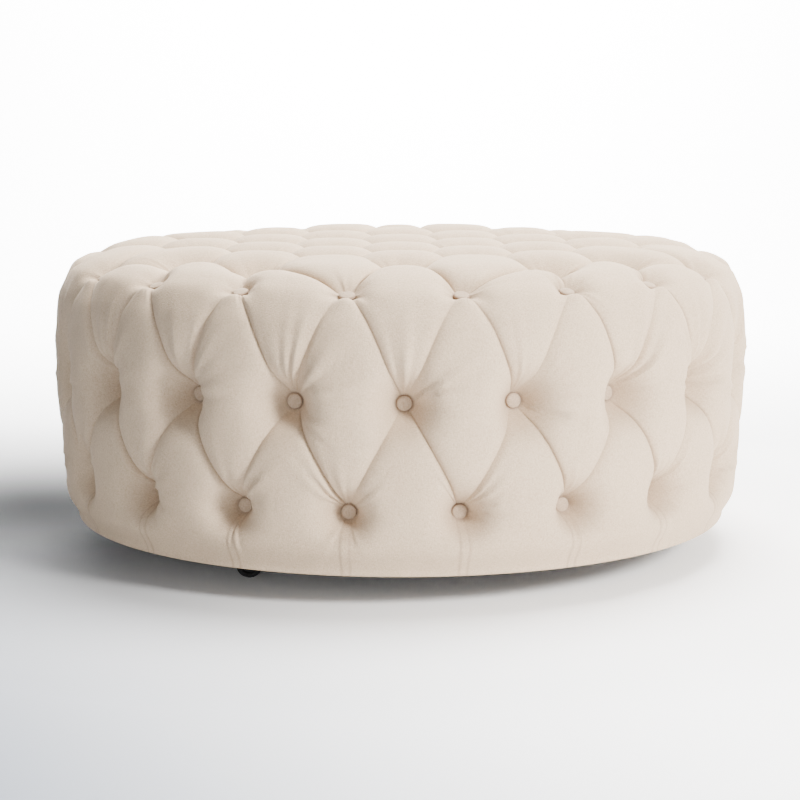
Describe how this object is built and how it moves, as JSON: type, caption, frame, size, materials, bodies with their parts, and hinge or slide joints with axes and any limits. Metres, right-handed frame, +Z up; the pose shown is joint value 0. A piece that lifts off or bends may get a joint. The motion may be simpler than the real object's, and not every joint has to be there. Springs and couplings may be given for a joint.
{
  "type": "ottoman coffee table",
  "caption": "Round deep-buttoned upholstered ottoman coffee table on small hidden twin-wheel casters, for use as a soft low table or seat.",
  "frame": {"origin": "on the floor under the centre of the ottoman", "axes": "+Z up, -Y the front as pictured, +X to the right"},
  "size_m": [0.9852, 0.9852, 0.4375],
  "materials": {
    "cover_fabric": "woven velvet, matte with a light sheen",
    "button_fabric": "the same fabric drawn over a button",
    "foam": "open-cell foam, matte",
    "twine": "waxed flat twine",
    "toggle_wood": "raw dowel",
    "plywood": "raw plywood",
    "frame_timber": "raw planed softwood",
    "dust_cloth": "thin black non-woven cloth",
    "staple_steel": "bright wire",
    "caster_steel": "zinc-plated steel",
    "caster_hood_plastic": "satin moulded nylon",
    "caster_wheel_plastic": "smooth moulded nylon"
  },
  "bodies": {
    "ottoman": {"base_board": "plywood", "caster_king_pins": "caster_steel", "caster_plates": "caster_steel", "caster_screws": "caster_steel", "caster_washers": "caster_steel", "cover": "cover_fabric", "deck_board": "plywood", "deck_rails": "frame_timber", "dust_cover": "dust_cloth", "dust_cover_staples": "staple_steel", "lower_buttons": "button_fabric", "lower_hoop": "frame_timber", "lower_twines": "twine", "middle_buttons": "button_fabric", "middle_hoop": "frame_timber", "middle_twines": "twine", "rim_buttons": "button_fabric", "rim_twines": "twine", "side_foam": "foam", "top_buttons": "button_fabric", "top_foam": "foam", "top_twines": "twine", "twine_toggles": "toggle_wood", "upper_hoop": "frame_timber", "uprights": "frame_timber"},
    "front_left_swivel": {"front_left_hood": "caster_hood_plastic", "front_left_axle": "caster_steel"},
    "front_left_wheel_a": {"front_left_wheel_a": "caster_wheel_plastic"},
    "front_left_wheel_b": {"front_left_wheel_b": "caster_wheel_plastic"},
    "front_right_swivel": {"front_right_hood": "caster_hood_plastic", "front_right_axle": "caster_steel"},
    "front_right_wheel_a": {"front_right_wheel_a": "caster_wheel_plastic"},
    "front_right_wheel_b": {"front_right_wheel_b": "caster_wheel_plastic"},
    "back_right_swivel": {"back_right_hood": "caster_hood_plastic", "back_right_axle": "caster_steel"},
    "back_right_wheel_a": {"back_right_wheel_a": "caster_wheel_plastic"},
    "back_right_wheel_b": {"back_right_wheel_b": "caster_wheel_plastic"},
    "back_left_swivel": {"back_left_hood": "caster_hood_plastic", "back_left_axle": "caster_steel"},
    "back_left_wheel_a": {"back_left_wheel_a": "caster_wheel_plastic"},
    "back_left_wheel_b": {"back_left_wheel_b": "caster_wheel_plastic"}
  },
  "joints": [
    {"name": "front_left_swivel", "type": "hinge", "parent": "ottoman", "child": "front_left_swivel", "pos_m": [-0.19103, -0.26293, 0.04], "axis": [0, 0, 1], "continuous": true},
    {"name": "front_left_wheel_a_spin", "type": "hinge", "parent": "front_left_swivel", "child": "front_left_wheel_a", "pos_m": [-0.20703, -0.26293, 0.018], "axis": [0, 1, 0], "continuous": true},
    {"name": "front_left_wheel_b_spin", "type": "hinge", "parent": "front_left_swivel", "child": "front_left_wheel_b", "pos_m": [-0.20703, -0.26293, 0.018], "axis": [0, 1, 0], "continuous": true},
    {"name": "front_right_swivel", "type": "hinge", "parent": "ottoman", "child": "front_right_swivel", "pos_m": [0.26293, -0.19103, 0.04], "axis": [0, 0, 1], "continuous": true},
    {"name": "front_right_wheel_a_spin", "type": "hinge", "parent": "front_right_swivel", "child": "front_right_wheel_a", "pos_m": [0.24693, -0.19103, 0.018], "axis": [0, 1, 0], "continuous": true},
    {"name": "front_right_wheel_b_spin", "type": "hinge", "parent": "front_right_swivel", "child": "front_right_wheel_b", "pos_m": [0.24693, -0.19103, 0.018], "axis": [0, 1, 0], "continuous": true},
    {"name": "back_right_swivel", "type": "hinge", "parent": "ottoman", "child": "back_right_swivel", "pos_m": [0.19103, 0.26293, 0.04], "axis": [0, 0, 1], "continuous": true},
    {"name": "back_right_wheel_a_spin", "type": "hinge", "parent": "back_right_swivel", "child": "back_right_wheel_a", "pos_m": [0.17503, 0.26293, 0.018], "axis": [0, 1, 0], "continuous": true},
    {"name": "back_right_wheel_b_spin", "type": "hinge", "parent": "back_right_swivel", "child": "back_right_wheel_b", "pos_m": [0.17503, 0.26293, 0.018], "axis": [0, 1, 0], "continuous": true},
    {"name": "back_left_swivel", "type": "hinge", "parent": "ottoman", "child": "back_left_swivel", "pos_m": [-0.26293, 0.19103, 0.04], "axis": [0, 0, 1], "continuous": true},
    {"name": "back_left_wheel_a_spin", "type": "hinge", "parent": "back_left_swivel", "child": "back_left_wheel_a", "pos_m": [-0.27893, 0.19103, 0.018], "axis": [0, 1, 0], "continuous": true},
    {"name": "back_left_wheel_b_spin", "type": "hinge", "parent": "back_left_swivel", "child": "back_left_wheel_b", "pos_m": [-0.27893, 0.19103, 0.018], "axis": [0, 1, 0], "continuous": true}
  ]
}
